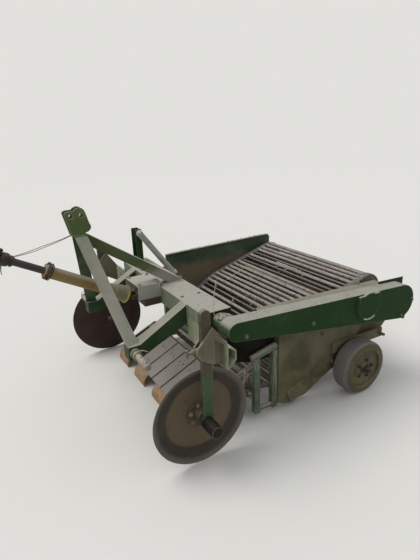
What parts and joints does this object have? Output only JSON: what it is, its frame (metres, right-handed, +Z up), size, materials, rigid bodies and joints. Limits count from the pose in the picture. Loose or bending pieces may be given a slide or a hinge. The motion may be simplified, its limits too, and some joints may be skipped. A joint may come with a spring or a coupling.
{
  "type": "mounted elevator potato digger",
  "caption": "Mounted potato digger: share and rod web between side plates, disc coulters on vertical arms, rear wheels, side chain guard, three-point mast and driveline.",
  "frame": {"origin": "on the ground, below the middle of the whole machine's length and width", "axes": "+X forward to the tractor, +Y to the machine's left, +Z up"},
  "size_m": [2.6756, 2.014, 1.407],
  "materials": {
    "green_paint": "old paint, dull, with dust on top",
    "faded_paint": "paint bleached pale and chalky",
    "dusty_paint": "paint under a thick coat of dry dust",
    "olive_paint": "paint rubbed brown by soil",
    "worn_steel": "bare steel worn by soil, dusty",
    "share_steel": "bright wear with fresh rust",
    "rusty_iron": "even brown rust and dirt",
    "tyre_rubber": "grey worn rubber",
    "guard_plastic": "yellow plastic under brown dust",
    "black_plastic": "dull black"
  },
  "bodies": {
    "chassis": {"main_beam": "dusty_paint", "stub_tube_left": "faded_paint", "stub_tube_right": "faded_paint", "mast_leg_left": "dusty_paint", "mast_leg_right": "green_paint", "mast_head": "green_paint", "mast_stay": "green_paint", "lower_arm_left": "green_paint", "lower_arm_right": "green_paint", "hitch_pin_left": "worn_steel", "hitch_pin_right": "worn_steel", "gearbox": "rusty_iron", "gearbox_cover": "dusty_paint", "chain_guard": "green_paint", "side_plate_left": "green_paint", "side_plate_right": "green_paint", "side_casing_left": "olive_paint", "side_casing_right": "olive_paint", "side_frame_left": "green_paint", "side_frame_right": "green_paint", "cross_tube": "green_paint", "web": "worn_steel", "drive_roller": "worn_steel", "idle_rollers": "worn_steel", "share_slats": "worn_steel", "share_carrier": "rusty_iron", "share_blades": "share_steel", "strut_post": "green_paint", "strut": "dusty_paint", "disc_arm_left": "rusty_iron", "disc_arm_right": "rusty_iron", "disc_clamp_left": "rusty_iron", "disc_clamp_right": "rusty_iron", "wheel_arm_left": "olive_paint", "wheel_arm_right": "olive_paint"},
    "disc_left": {"disc_left": "rusty_iron", "disc_hub_left": "rusty_iron"},
    "disc_right": {"disc_right": "rusty_iron", "disc_hub_right": "rusty_iron"},
    "wheel_left": {"tyre_left": "tyre_rubber", "wheel_rim_left": "olive_paint"},
    "wheel_right": {"tyre_right": "tyre_rubber", "wheel_rim_right": "olive_paint"},
    "driveline": {"drive_joint": "worn_steel", "guard_cone": "guard_plastic", "guard_tube": "guard_plastic"},
    "drive_slide": {"inner_tube": "black_plastic", "front_yoke": "rusty_iron"}
  },
  "joints": [
    {"name": "disc_left_spin", "type": "hinge", "parent": "chassis", "child": "disc_left", "pos_m": [0.4171, 0.814, 0.3], "axis": [0, 1, 0], "continuous": true},
    {"name": "disc_right_spin", "type": "hinge", "parent": "chassis", "child": "disc_right", "pos_m": [0.4171, -0.814, 0.3], "axis": [0, 1, 0], "continuous": true},
    {"name": "wheel_left_spin", "type": "hinge", "parent": "chassis", "child": "wheel_left", "pos_m": [-0.8719, 0.7995, 0.194], "axis": [0, 1, 0], "continuous": true},
    {"name": "wheel_right_spin", "type": "hinge", "parent": "chassis", "child": "wheel_right", "pos_m": [-0.8719, -0.7995, 0.194], "axis": [0, 1, 0], "continuous": true},
    {"name": "driveline_lift", "type": "hinge", "parent": "chassis", "child": "driveline", "pos_m": [0.4671, 0, 0.77], "axis": [0, -1, 0], "range_deg": [0, 12]},
    {"name": "driveline_slide", "type": "slide", "parent": "driveline", "child": "drive_slide", "axis": [0.8813, 0, 0.4726], "range_m": [-0.15, 0.12]}
  ]
}
